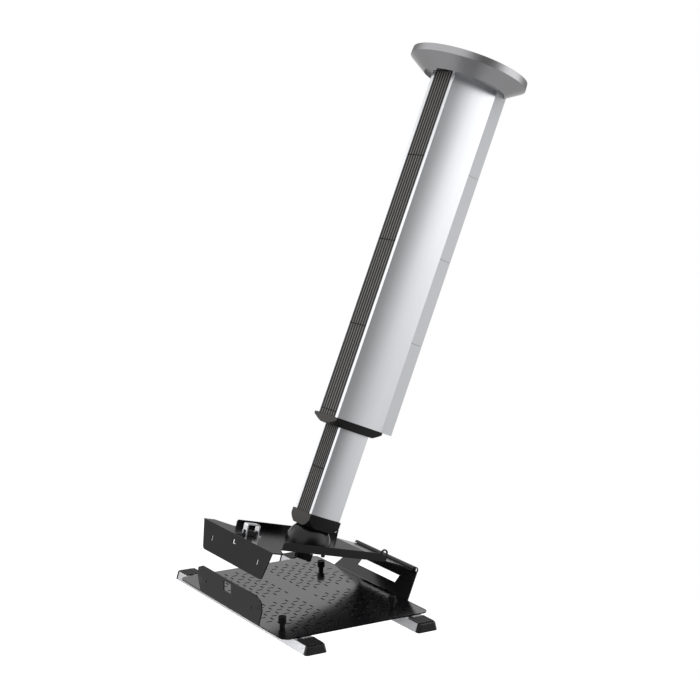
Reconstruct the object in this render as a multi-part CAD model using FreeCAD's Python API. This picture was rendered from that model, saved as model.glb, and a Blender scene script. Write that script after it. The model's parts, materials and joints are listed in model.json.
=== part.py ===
import FreeCAD, Part
import math
import os

# Projector ceiling mount: a two-stage telescopic column that hangs from a
# ceiling plate, ends in a clamped ball joint, and carries a perforated tray
# with two rails. The tray is hooked on one side of an upper bracket and hangs
# open from it.
# Millimetres. +Z is up along the column. The origin is the centre of the
# ceiling plate's top face. +X points to the hooked side, Y runs along the rails.

V = FreeCAD.Vector
X_AXIS = V(1, 0, 0)
Y_AXIS = V(0, 1, 0)
Z_AXIS = V(0, 0, 1)

# Overall heights, measured down from the ceiling
outer_end = 622.0
inner_end = 782.8
ball_drop = 831.0
cover_ring_drop = 32.0

# Angles of the hanging pieces
bracket_lean = 7.7
tray_open = 13.6

# Ceiling plate and its screws
plate_radius = 85.0
plate_thick = 5.0
ceiling_pcd = 140.0
ceiling_hole_radius = 4.5
ceiling_hole_count = 4
port_screw_radius = 2.45
port_screw_length = 24.0
port_screw_head_radius = 5.0
port_socket_radius = 1.4
port_socket_depth = 1.6

# Outer column extrusion, measured from the inner one that slides in it
column_step_x = 16.5
column_step_y = 6.0
outer_bulge = 4.0
outer_wall = 3.0
outer_port_radius = 4.6
outer_port_sink = 0.6
port_bore_radius = 2.5

# Inner column extrusion
inner_half_x = 29.0
inner_half_y = 26.0
inner_bulge = 3.0
inner_wall = 2.6
inner_port_radius = 4.0
inner_port_bore = 2.1
inner_port_sink = 0.5
inner_length = 411.0

# Ribbed strips let into the front of both columns
strip_depth = 2.5
strip_margin = 7.7
inner_strip_margin = 6.8
strip_proud = 0.4
strip_module = 146.5
strip_seam = 0.4
strip_side_gap = 0.1
strip_count = 4
inner_strip_count = 3
rib_count = 7
rib_height = 0.9
rib_foot = 0.3
rib_top = 0.15
inner_first_strip = 75.0

# Cable duct behind the outer column
duct_depth = 23.2
duct_half_width = 31.5
duct_wall = 1.8
duct_corner = 1.7
duct_hook_thick = 1.5
duct_hook_reach = 3.0
duct_top_drop = 8.0

# Ceiling cover
cover_radius = 100.0
cover_rim_height = 12.2
cover_ring_radius = 70.8
cover_skin = 1.3
cover_recess = 5.2
cover_draft = 0.8
cover_gap = 0.7
cover_top_gap = 0.3
cover_boss = 12.0
cover_boss_back = 0.6
cover_boss_height = 8.0
grub_radius = 2.0
grub_fit = 0.05
grub_tip = 0.4

# Collar at the end of the outer column
collar_margin = 2.0
collar_height = 13.5
collar_corner_height = 4.0
collar_taper = 13.4
collar_peg_length = 10.0
collar_peg_fit = 0.05
peg_root = 1.0
guide_length = 32.0
guide_fit = 0.05
guide_port_gap = 0.1
upper_guide_port_gap = 0.4
slide_gap = 0.3
lock_screw_radius = 4.0
lock_screw_fit = 0.05
lock_socket_depth = 3.0
lock_screw_drop = 565.0
lock_screw_spacing = 25.0

# End cap of the inner column
cap_margin = 2.0
cap_lower_height = 27.0
cap_corner_height = 9.5
cap_taper = 7.8
cap_plug_height = 14.0
cap_plug_gap = 0.2

# Ball joint
ball_radius = 37.5
dome_wall = 4.5
dome_opening_radius = 15.5
ball_gap = 0.3
liner_thick = 2.0
liner_hole_angle = 25.0
liner_edge_angle = 42.0
washer_thick = 4.0
washer_edge_angle = 45.0
clamp_bolt_radius = 4.0
clamp_bolt_fit = 0.05
clamp_head_radius = 7.5
clamp_head_height = 5.6
clamp_head_gap = 0.2
clamp_spacer_radius = 7.0
clamp_nut_radius = 15.0
clamp_nut_top = 15.0
clamp_nut_height = 12.0
clamp_nut_flutes = 8
clamp_flute_radius = 3.0
clamp_flute_offset = 1.5
dome_boss_circle = 29.8
dome_boss_count = 4
dome_boss_radius = 4.0
dome_boss_height = 8.0
dome_screw_radius = 2.05
dome_screw_head_radius = 3.6
dome_screw_head_height = 2.4
dome_screw_gap = 0.2
lock_pin_radius = 1.8
lock_pin_head_radius = 3.5
lock_pin_length = 19.0
lock_pin_depth = 5.5
lock_pin_bore_depth = 6.0
lock_pin_chamfer = 1.0
floor_opening_radius = 24.0

# Upper bracket, one folded sheet
bracket_sheet = 2.0
bracket_left = 134.5
bracket_end_half_y = 113.6
bracket_end_width = 20.0
bracket_waist_x = 98.0
bar_half_y = 77.0
bar_height = 11.1
bar_start = 94.0
bar_end = 107.0
bar_corner = 4.0
ear_x = 100.7
ear_z = 11.9
ear_radius = 6.5
ear_hole_radius = 3.9
flange_depth = 47.0
flange_lower_half_y = 97.0
flange_corner = 8.0
flange_slot_y = 75.5
flange_slot_z = 24.5
flange_slot_width = 4.0
flange_slot_height = 9.0
latch_hole_width = 10.0
latch_hole_height = 7.0
latch_hole_z = 12.0
slope_start = 105.0
bead_x = 159.6
bead_z = 8.2
bead_radius = 3.9
bead_half_y = 84.0

# Latch on the upper bracket
latch_x = 107.5
latch_y = 4.5
latch_half_x = 12.0
latch_half_y = 6.2
latch_height = 20.0
latch_strap = 2.0
latch_slot_length = 12.0
latch_way_height = 9.5
latch_tongue_half = 4.0
latch_gap = 0.4
latch_foot = 5.0
latch_foot_thick = 1.6
latch_corner = 3.0
rivet_radius = 1.4
rivet_height = 0.8
rivet_y = 3.5
slider_margin = 2.0
slider_gap = 0.3
slider_pad_height = 7.5
slider_arm_height = 3.5
slider_leg = 4.0
slider_leg_reach = 6.0
slider_tongue_gap = 0.5
grip_ribs = 4
grip_first = 2.5
grip_pitch = 2.6
grip_width = 1.2
grip_height = 1.0

# Perforated tray, one folded sheet
tray_sheet = 1.6
tray_half_x = 134.5
tray_half_y = 175.3
tray_corner = 13.0
tray_shift = 4.6
tray_drop = 47.9
tray_flange_height = 44.0
tray_flange_base_y = 99.0
tray_flange_mid_y = 108.0
tray_flange_mid_z = 25.0
tray_flange_top_y = 90.0
tray_flange_corner_z = 38.0
tray_flange_corner_y = 105.0
tray_flange_upright = 2.0
tray_hole_y = 76.0
tray_hole_z = 21.0
tray_hole_radius = 2.6
tray_window_half_y = 12.5
tray_window_low = 23.0
tray_window_high = 39.5
hook_base_half_y = 113.5
hook_half_y = 90.5
hook_lip_half_y = 88.6
hook_gap = 0.4
hook_root = 0.6
hook_relief_inner = 84.3
hook_relief_outer = 88.6
hook_relief_half = 3.4
hook_end_angle = 139.0
hook_window_low = 18.5
hook_window_high = 32.5
hook_window_half_y = 57.5
slot_length = 10.6
slot_width = 3.2
slot_pitch_x = 10.65
slot_pitch_y = 10.8
slot_first_x = 17.0
slot_first_y = 18.8
slot_columns = 10
slot_rows = 13

# Rails under the tray
rail_x = 101.5
rail_top_half = 15.5
rail_bottom_half = 19.3
rail_height = 13.4
rail_half_length = 211.0
rail_gap = 0.3
rail_slot_shift = 6.0
rail_slot_half = 4.0
rail_channel_half = 7.0
rail_channel_depth = 8.0
rail_lip = 2.2
rail_bottom_wall = 2.0
rail_hole_radius = 3.3
rail_hole_y = 150.0
rail_cap_length = 8.0
rail_cap_chamfer = 3.5
rail_cap_overlap = 2.0
rail_core_web = 1.6
rail_core_wall = 2.2
rail_pad_start = 184.0
rail_pad_thick = 1.6
rail_pad_margin = 0.8
rail_pad_cells = 5
rail_pad_groove = 1.2

# Thumb screws and their nuts
thumb_y_far = 94.0
thumb_y_near = -125.0
thumb_radius = 6.2
thumb_height = 11.0
thumb_collar_radius = 4.2
thumb_collar_height = 6.5
thumb_flutes = 14
thumb_flute_width = 1.1
thumb_flute_margin = 1.5
thumb_dish_rim = 2.0
thumb_dish_depth = 0.8
thumb_lift = 0.3
thumb_stud_radius = 3.0
thumb_fit = 0.06
thumb_clearance = 0.3
thumb_stud_length = 9.6
nut_half_length = 9.0
nut_height = 4.0
nut_top_gap = 0.3
nut_side_gap = 0.4

# Places worked out from the sizes above
ball_z = -ball_drop
outer_half_x = inner_half_x + column_step_x
outer_half_y = inner_half_y + column_step_y
outer_cavity_half_x = outer_half_x - strip_depth - outer_wall
outer_cavity_half_y = outer_half_y - outer_wall
inner_cavity_half_x = inner_half_x - strip_depth - inner_wall
inner_cavity_half_y = inner_half_y - inner_wall
outer_port_x = outer_cavity_half_x - outer_port_radius + outer_port_sink
outer_port_y = outer_cavity_half_y - outer_port_radius + outer_port_sink
inner_port_x = inner_cavity_half_x - inner_port_radius + inner_port_sink
inner_port_y = inner_cavity_half_y - inner_port_radius + inner_port_sink
cap_top = ball_drop - inner_end
hook_inner_radius = bead_radius + hook_gap
hook_outer_radius = hook_inner_radius + tray_sheet


def wire_of(points):
    corners = [V(*p) for p in points]
    return Part.makePolygon(corners + [corners[0]])


def prism(points, direction):
    return Part.Face(wire_of(points)).extrude(direction)


def column_wire(half_x, half_y, bulge, z):
    # flat front and back, gently convex sides
    corners = [V(-half_x, -half_y, z), V(half_x, -half_y, z),
               V(half_x, half_y, z), V(-half_x, half_y, z)]
    near = Part.Arc(corners[0], V(0, -half_y - bulge, z), corners[1]).toShape()
    right = Part.LineSegment(corners[1], corners[2]).toShape()
    far = Part.Arc(corners[2], V(0, half_y + bulge, z), corners[3]).toShape()
    left = Part.LineSegment(corners[3], corners[0]).toShape()
    return Part.Wire([near, right, far, left])


def column_solid(half_x, half_y, bulge, z_low, z_high):
    return Part.Face(column_wire(half_x, half_y, bulge, z_low)).extrude(V(0, 0, z_high - z_low))


def corner_places(x, y):
    return [V(sx * x, sy * y, 0) for sx in (-1, 1) for sy in (-1, 1)]


def write(name, shape):
    shape.exportStep(os.path.join("parts", name + ".step"))


def extrusion(half_x, half_y, bulge, cavity, port, z_low, z_high, recess_half_y):
    # an extruded column: convex skin, open core, four screw ports and a
    # shallow recess along the front for the ribbed strips
    body = column_solid(half_x, half_y, bulge, z_low, z_high)
    core = column_solid(cavity[0], cavity[1], bulge, z_low, z_high)
    body = body.cut(core)
    height = z_high - z_low
    tubes = []
    bores = []
    for place in corner_places(port[0], port[1]):
        foot = place + V(0, 0, z_low)
        tubes.append(Part.makeCylinder(port[2], height, foot))
        bores.append(Part.makeCylinder(port[3], height, foot))
    body = body.fuse(tubes)
    recess = Part.makeBox(strip_depth, 2 * recess_half_y, height, V(-half_x, -recess_half_y, z_low))
    return body.cut(bores + [recess]).removeSplitter()


def edges_at(shape, wanted):
    # the edges of a shape whose middles are where they are wanted
    return [edge for edge in shape.Edges if wanted(edge.CenterOfMass)]


def ribbed_strip(column_x, proud, half_y, z_low, z_high):
    # a moulded strip with upright ribs on its face
    back_x = column_x + strip_depth
    front_x = column_x - proud
    face_x = front_x + rib_height
    points = [(back_x, half_y, z_low), (back_x, -half_y, z_low), (face_x, -half_y, z_low)]
    pitch = 2 * half_y / rib_count
    for i in range(rib_count):
        middle = -half_y + (i + 0.5) * pitch
        points.append((face_x, middle - rib_foot * pitch, z_low))
        points.append((front_x, middle - rib_top * pitch, z_low))
        points.append((front_x, middle + rib_top * pitch, z_low))
        points.append((face_x, middle + rib_foot * pitch, z_low))
    points.append((face_x, half_y, z_low))
    return prism(points, V(0, 0, z_high - z_low))


def ceiling_plate():
    plate = Part.makeCylinder(plate_radius, plate_thick, V(0, 0, -plate_thick))
    cuts = []
    for i in range(ceiling_hole_count):
        angle = math.radians(45 + 90 * i)
        place = V(ceiling_pcd / 2 * math.cos(angle), ceiling_pcd / 2 * math.sin(angle), -plate_thick)
        cuts.append(Part.makeCylinder(ceiling_hole_radius, plate_thick, place))
    for place in corner_places(outer_port_x, outer_port_y):
        cuts.append(port_screw(place, port_bore_radius - port_screw_radius))
    cable_x = outer_half_x + duct_wall
    cable_width = duct_depth - 2 * duct_wall
    cable_half_y = duct_half_width - 4 * duct_wall
    cable_corner = V(cable_x, -cable_half_y, -plate_thick)
    cuts.append(Part.makeBox(cable_width, 2 * cable_half_y, plate_thick, cable_corner))
    core_half_x = outer_cavity_half_x - 3 * outer_port_radius
    core_corner = V(-core_half_x, -inner_half_y / 2, -plate_thick)
    cuts.append(Part.makeBox(2 * core_half_x, inner_half_y, plate_thick, core_corner))
    return plate.cut(cuts)


def port_screw(place, grow):
    # countersunk screw from the plate down into a port of the column
    head_height = port_screw_head_radius - port_screw_radius
    top = place + V(0, 0, -head_height)
    head = Part.makeCone(port_screw_radius + grow, port_screw_head_radius + grow, head_height, top)
    tip = place + V(0, 0, -port_screw_length)
    shank = Part.makeCylinder(port_screw_radius + grow, port_screw_length, tip)
    return head.fuse(shank)


def plate_screws():
    screws = []
    for place in corner_places(outer_port_x, outer_port_y):
        socket_low = place + V(0, 0, -port_socket_depth)
        socket = Part.makeCylinder(port_socket_radius, port_socket_depth, socket_low)
        screws.append(port_screw(place, 0).cut(socket))
    return Part.makeCompound(screws)


def outer_column():
    cavity = (outer_cavity_half_x, outer_cavity_half_y)
    port = (outer_port_x, outer_port_y, outer_port_radius, port_bore_radius)
    recess = outer_half_y - strip_margin
    body = extrusion(outer_half_x, outer_half_y, outer_bulge, cavity, port, -outer_end, -plate_thick, recess)
    holes = []
    reach = 2 * outer_wall + outer_bulge
    for z in lock_heights():
        start = V(0, outer_half_y - 2 * outer_wall, z)
        holes.append(Part.makeCylinder(lock_screw_radius + lock_screw_fit, reach, start, Y_AXIS))
    return body.cut(holes)


def lock_heights():
    return [-lock_screw_drop - lock_screw_spacing / 2, -lock_screw_drop + lock_screw_spacing / 2]


def height_lock_screws():
    # two grub screws in the far side that clamp the inner column
    start = inner_half_y + inner_bulge + slide_gap
    end = outer_half_y + outer_bulge
    screws = []
    for z in lock_heights():
        screw = Part.makeCylinder(lock_screw_radius, end - start, V(0, start, z), Y_AXIS)
        socket_start = V(0, end - lock_socket_depth, z)
        socket = Part.makeCylinder(lock_screw_radius / 2, lock_socket_depth, socket_start, Y_AXIS)
        screws.append(screw.cut(socket))
    return Part.makeCompound(screws)


def front_strips():
    half_y = outer_half_y - strip_margin - strip_side_gap
    top = -cover_ring_drop + cover_recess + 1
    strips = []
    first = -cover_ring_drop + cover_recess
    for i in range(strip_count):
        high = top if i == 0 else first - i * strip_module - strip_seam
        low = -outer_end if i == strip_count - 1 else first - (i + 1) * strip_module
        strips.append(ribbed_strip(-outer_half_x, strip_proud, half_y, low, high))
    return strips


def cable_ducts():
    # snap-on channels that carry the cables behind the column
    outside = outer_half_x + duct_depth
    height = 1.0
    shell = Part.makeBox(duct_depth, 2 * duct_half_width, height, V(outer_half_x, -duct_half_width, 0))
    room_half_y = duct_half_width - duct_wall
    room = Part.makeBox(duct_depth - duct_wall, 2 * room_half_y, height, V(outer_half_x, -room_half_y, 0))
    shell = shell.cut(room)
    edges = [e for e in shell.Edges if upright_at(e, outside)]
    section = shell.makeFillet(duct_corner, edges)
    hooks = []
    for side in (-1, 1):
        low = room_half_y - duct_hook_reach if side > 0 else -room_half_y
        hooks.append(Part.makeBox(duct_hook_thick, duct_hook_reach, height, V(outer_half_x, low, 0)))
    section = section.fuse(hooks).removeSplitter()
    profile = [f for f in section.Faces if abs(f.CenterOfMass.z) < 1e-6][0]
    ducts = []
    first = -cover_ring_drop + cover_recess
    for i in range(strip_count):
        high = -duct_top_drop if i == 0 else first - i * strip_module - strip_seam
        low = -outer_end if i == strip_count - 1 else first - (i + 1) * strip_module
        piece = profile.copy()
        piece.translate(V(0, 0, low))
        ducts.append(piece.extrude(V(0, 0, high - low)))
    return ducts


def upright_at(edge, x):
    a = edge.Vertexes[0].Point
    b = edge.Vertexes[-1].Point
    return abs(a.x - x) < 1e-6 and abs(b.x - x) < 1e-6 and abs(a.z - b.z) > 0.5


def ceiling_cover():
    # spun dish: upright rim, cone, and a recessed ring around the column
    slope = (cover_ring_drop - cover_rim_height) / (cover_radius - cover_ring_radius)
    skin = 1.3 * cover_skin
    ring_inside = cover_ring_radius - cover_skin
    ring_roof = -cover_ring_drop + cover_recess
    roof_reach = cover_ring_radius + (cover_recess - skin + cover_skin) / slope
    rim_inside = cover_radius - cover_skin
    rim_low = -cover_rim_height - slope * cover_skin + skin
    centre = outer_half_y / 2
    outline = [(cover_radius - cover_draft, 0, -cover_top_gap), (cover_radius, 0, -cover_rim_height),
               (cover_ring_radius, 0, -cover_ring_drop), (ring_inside, 0, -cover_ring_drop),
               (ring_inside, 0, ring_roof), (centre, 0, ring_roof), (centre, 0, ring_roof + cover_skin),
               (roof_reach, 0, ring_roof + cover_skin), (rim_inside, 0, rim_low),
               (rim_inside - cover_draft, 0, -cover_top_gap)]
    dish = Part.Face(wire_of(outline)).revolve(V(0, 0, 0), Z_AXIS, 360)
    low = -cover_ring_drop - 1
    high = -cover_top_gap - 4
    opening = column_solid(outer_half_x + cover_gap, outer_half_y + cover_gap, outer_bulge, low, high)
    duct_room = Part.makeBox(duct_depth + cover_gap + 1, 2 * (duct_half_width + cover_gap), high - low,
                             V(outer_half_x - 1, -duct_half_width - cover_gap, low))
    boss_y = -outer_half_y - outer_bulge - cover_gap - cover_boss_back - cover_boss
    boss_corner = V(-cover_boss / 2, boss_y, ring_roof + cover_skin)
    boss = Part.makeBox(cover_boss, cover_boss, cover_boss_height, boss_corner)
    bore = Part.makeCylinder(grub_radius + grub_fit, cover_boss, V(0, boss_y, grub_height()), Y_AXIS)
    return dish.cut([opening, duct_room]).fuse(boss).cut(bore)


def grub_height():
    return -cover_ring_drop + cover_recess + cover_skin + cover_boss_height / 2


def cover_grub_screw():
    # its tip presses on the column's side
    start = V(0, -outer_half_y - outer_bulge - cover_gap - cover_boss_back - cover_boss, grub_height())
    screw = Part.makeCylinder(grub_radius, cover_boss + cover_boss_back + grub_tip, start, Y_AXIS)
    return screw.cut(Part.makeCylinder(grub_radius / 2, grub_radius, start, Y_AXIS))


def rounded_under(half_x, half_y, bulge, z_high, height, corner_height, taper):
    # a block whose corners run straight down at first, and then round in to its foot
    block = column_solid(half_x, half_y, bulge, z_high - height, z_high)
    corner_radius = math.hypot(half_x, half_y)
    foot_radius = corner_radius - taper
    spread = (corner_radius ** 2 - foot_radius ** 2) / (height - corner_height)
    rise = (spread - height - corner_height) / 2
    round_form = Part.makeSphere(math.hypot(foot_radius, height + rise), V(0, 0, z_high + rise))
    return block.common(round_form)


def collar():
    # moulded end of the outer column, held by pegs in its ports
    half_x = outer_half_x + collar_margin
    half_y = outer_half_y + collar_margin
    low = -outer_end - collar_height
    shape = (half_x, half_y, outer_bulge)
    body = rounded_under(*shape, -outer_end, collar_height, collar_corner_height, collar_taper)
    passage = column_solid(inner_half_x + slide_gap, inner_half_y + slide_gap, inner_bulge, low, -outer_end)
    body = body.cut(passage)
    pegs = []
    for place in corner_places(outer_port_x, outer_port_y):
        foot = place + V(0, 0, -outer_end - peg_root)
        pegs.append(Part.makeCylinder(port_bore_radius - collar_peg_fit, collar_peg_length + peg_root, foot))
    return body.fuse(pegs)


def corner_room(foot, width, height):
    # square block outward from a port's axis
    x = foot.x if foot.x > 0 else foot.x - width
    y = foot.y if foot.y > 0 else foot.y - width
    return Part.makeBox(width, width, height, V(x, y, foot.z))


def glide(z_low, z_high, outside_gap, inside_gap, port_gap):
    # plastic guide ring between the two columns, notched round the ports
    height = z_high - z_low
    ring_half_x = outer_cavity_half_x - outside_gap
    ring_half_y = outer_cavity_half_y - outside_gap
    ring = column_solid(ring_half_x, ring_half_y, outer_bulge, z_low, z_high)
    bore = column_solid(inner_half_x + inside_gap, inner_half_y + inside_gap, inner_bulge, z_low, z_high)
    cuts = [bore]
    for place in corner_places(outer_port_x, outer_port_y):
        foot = place + V(0, 0, z_low)
        cuts.append(Part.makeCylinder(outer_port_radius + port_gap, height, foot))
        cuts.append(corner_room(foot, 3 * outer_port_radius, height))
    return ring.cut(cuts)


def inner_column():
    cavity = (inner_cavity_half_x, inner_cavity_half_y)
    port = (inner_port_x, inner_port_y, inner_port_radius, inner_port_bore)
    recess = inner_half_y - inner_strip_margin
    low = -inner_end
    return extrusion(inner_half_x, inner_half_y, inner_bulge, cavity, port, low, low + inner_length, recess)


def inner_strips():
    half_y = inner_half_y - inner_strip_margin - strip_side_gap
    low = -inner_end
    strips = []
    for i in range(inner_strip_count):
        high = -inner_end + inner_first_strip + i * strip_module
        strip = ribbed_strip(-inner_half_x, 0, half_y, low, high)
        strips.append(strip)
        low = high + strip_seam
    return strips


def end_cap():
    # moulded cup under the inner column with a ball seat in its underside
    top = ball_z + cap_top
    half_x = inner_half_x + cap_margin
    half_y = inner_half_y + cap_margin
    height = cap_top - cap_lower_height
    block = rounded_under(half_x, half_y, inner_bulge, top, height, cap_corner_height, cap_taper)
    plug_half_x = inner_cavity_half_x - cap_plug_gap
    plug_half_y = inner_cavity_half_y - cap_plug_gap
    plug = column_solid(plug_half_x, plug_half_y, inner_bulge, top, top + cap_plug_height)
    room = 2 * inner_port_radius
    ports = []
    for place in corner_places(inner_port_x, inner_port_y):
        foot = place + V(0, 0, top)
        ports.append(Part.makeCylinder(inner_port_radius + cap_plug_gap, cap_plug_height, foot))
        ports.append(corner_room(foot, room, cap_plug_height))
    body = block.fuse(plug.cut(ports))
    seat = Part.makeSphere(ball_radius + 2 * ball_gap + liner_thick, V(0, 0, ball_z))
    bolt_length = cap_top + 2 * cap_plug_height
    bolt = Part.makeCylinder(clamp_bolt_radius + clamp_bolt_fit, bolt_length, V(0, 0, ball_z))
    return body.cut([seat, bolt])


def shell_zone(outer, inner, angle_low, angle_high):
    # part of a hollow sphere round the ball centre between two polar angles
    a = math.radians(angle_low)
    b = math.radians(angle_high)
    m = (a + b) / 2
    def on(radius, angle):
        return V(radius * math.sin(angle), 0, ball_z + radius * math.cos(angle))
    outside = Part.Arc(on(outer, a), on(outer, m), on(outer, b)).toShape()
    inside = Part.Arc(on(inner, b), on(inner, m), on(inner, a)).toShape()
    foot = Part.LineSegment(on(outer, b), on(inner, b)).toShape()
    head = Part.LineSegment(on(inner, a), on(outer, a)).toShape()
    face = Part.Face(Part.Wire([outside, foot, inside, head]))
    return face.revolve(V(0, 0, 0), Z_AXIS, 360)


def ball_liner():
    inside = ball_radius + ball_gap
    return shell_zone(inside + liner_thick, inside, liner_hole_angle, liner_edge_angle)


def clamp_bolt():
    top = ball_z + cap_top + cap_plug_height + clamp_head_gap
    foot = ball_z - clamp_nut_top - clamp_nut_height
    shank = Part.makeCylinder(clamp_bolt_radius, top - foot, V(0, 0, foot))
    head = Part.makeCylinder(clamp_head_radius, clamp_head_height, V(0, 0, top))
    points = []
    for i in range(6):
        angle = math.radians(60 * i)
        points.append((clamp_head_radius * math.cos(angle), clamp_head_radius * math.sin(angle), top))
    return shank.fuse(prism(points, V(0, 0, clamp_head_height)).common(head))


def clamp_washer():
    outside = ball_radius - dome_wall - ball_gap
    hole = math.degrees(math.asin(clamp_bolt_radius / (outside - washer_thick)))
    zone = shell_zone(outside, outside - washer_thick, hole, washer_edge_angle)
    roof = ball_z + outside - washer_thick + 1
    sleeve_low = ball_z - clamp_nut_top
    sleeve = Part.makeCylinder(clamp_spacer_radius, roof - sleeve_low, V(0, 0, sleeve_low))
    rod = Part.makeCylinder(clamp_bolt_radius, 4 * ball_radius, V(0, 0, ball_z - 2 * ball_radius))
    return zone.fuse(sleeve).cut(rod)


def clamp_nut():
    # round nut under the bracket that tightens the ball
    top = ball_z - clamp_nut_top
    nut = Part.makeCylinder(clamp_nut_radius, clamp_nut_height, V(0, 0, top - clamp_nut_height))
    flutes = []
    circle = clamp_nut_radius + clamp_flute_offset
    for i in range(clamp_nut_flutes):
        angle = 2 * math.pi * i / clamp_nut_flutes
        place = V(circle * math.cos(angle), circle * math.sin(angle), top - clamp_nut_height)
        flutes.append(Part.makeCylinder(clamp_flute_radius, clamp_nut_height, place))
    bore = Part.makeCylinder(clamp_bolt_radius, clamp_nut_height, V(0, 0, top - clamp_nut_height))
    return nut.cut(flutes + [bore])


def boss_places():
    places = []
    for i in range(dome_boss_count):
        angle = math.radians(45) + 2 * math.pi * i / dome_boss_count
        places.append(V(dome_boss_circle * math.cos(angle), dome_boss_circle * math.sin(angle), 0))
    return places


def ball_dome():
    # half ball on the bracket's floor, open at the top for the clamp bolt
    centre = V(0, 0, 0)
    outside = Part.makeSphere(ball_radius, centre, Z_AXIS, 0, 90, 360)
    inside = Part.makeSphere(ball_radius - dome_wall, centre)
    opening = Part.makeCylinder(dome_opening_radius, 2 * ball_radius, centre)
    shell = outside.cut([inside, opening])
    bosses = [Part.makeCylinder(dome_boss_radius, dome_boss_height, place) for place in boss_places()]
    bores = [Part.makeCylinder(dome_screw_radius, dome_boss_height, place) for place in boss_places()]
    pin = Part.makeCylinder(lock_pin_radius, lock_pin_bore_depth, V(ball_radius - dome_wall / 2, 0, 0))
    return shell.fuse([boss.common(outside) for boss in bosses]).cut(bores + [pin])


def dome_screws():
    screws = []
    for place in boss_places():
        under = place + V(0, 0, -bracket_sheet)
        shank = Part.makeCylinder(dome_screw_radius, bracket_sheet + dome_boss_height - 1, under)
        head_low = under + V(0, 0, -dome_screw_head_height)
        head = Part.makeCylinder(dome_screw_head_radius, dome_screw_head_height, head_low)
        screws.append(shank.fuse(head))
    return Part.makeCompound(screws)


def dome_lock_screw():
    place = V(ball_radius - dome_wall / 2, 0, -bracket_sheet)
    shank = Part.makeCylinder(lock_pin_radius, bracket_sheet + lock_pin_depth, place)
    head = Part.makeCylinder(lock_pin_head_radius, lock_pin_length, place + V(0, 0, -lock_pin_length))
    low = -bracket_sheet - lock_pin_length
    edges = [e for e in head.Edges if abs(e.CenterOfMass.z - low) < 1e-6]
    return shank.fuse(head.makeChamfer(lock_pin_chamfer, edges))


def sheet_sector(centre, inner, outer, start, end, half_y):
    # a bent piece of sheet: part of a tube that runs along Y
    a = math.radians(start)
    b = math.radians(end)
    m = (a + b) / 2
    def on(radius, angle):
        return V(centre[0] + radius * math.cos(angle), -half_y, centre[1] + radius * math.sin(angle))
    outside = Part.Arc(on(outer, a), on(outer, m), on(outer, b)).toShape()
    inside = Part.Arc(on(inner, b), on(inner, m), on(inner, a)).toShape()
    head = Part.LineSegment(on(outer, b), on(inner, b)).toShape()
    foot = Part.LineSegment(on(inner, a), on(outer, a)).toShape()
    face = Part.Face(Part.Wire([outside, head, inside, foot]))
    return face.extrude(V(0, 2 * half_y, 0))


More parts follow.
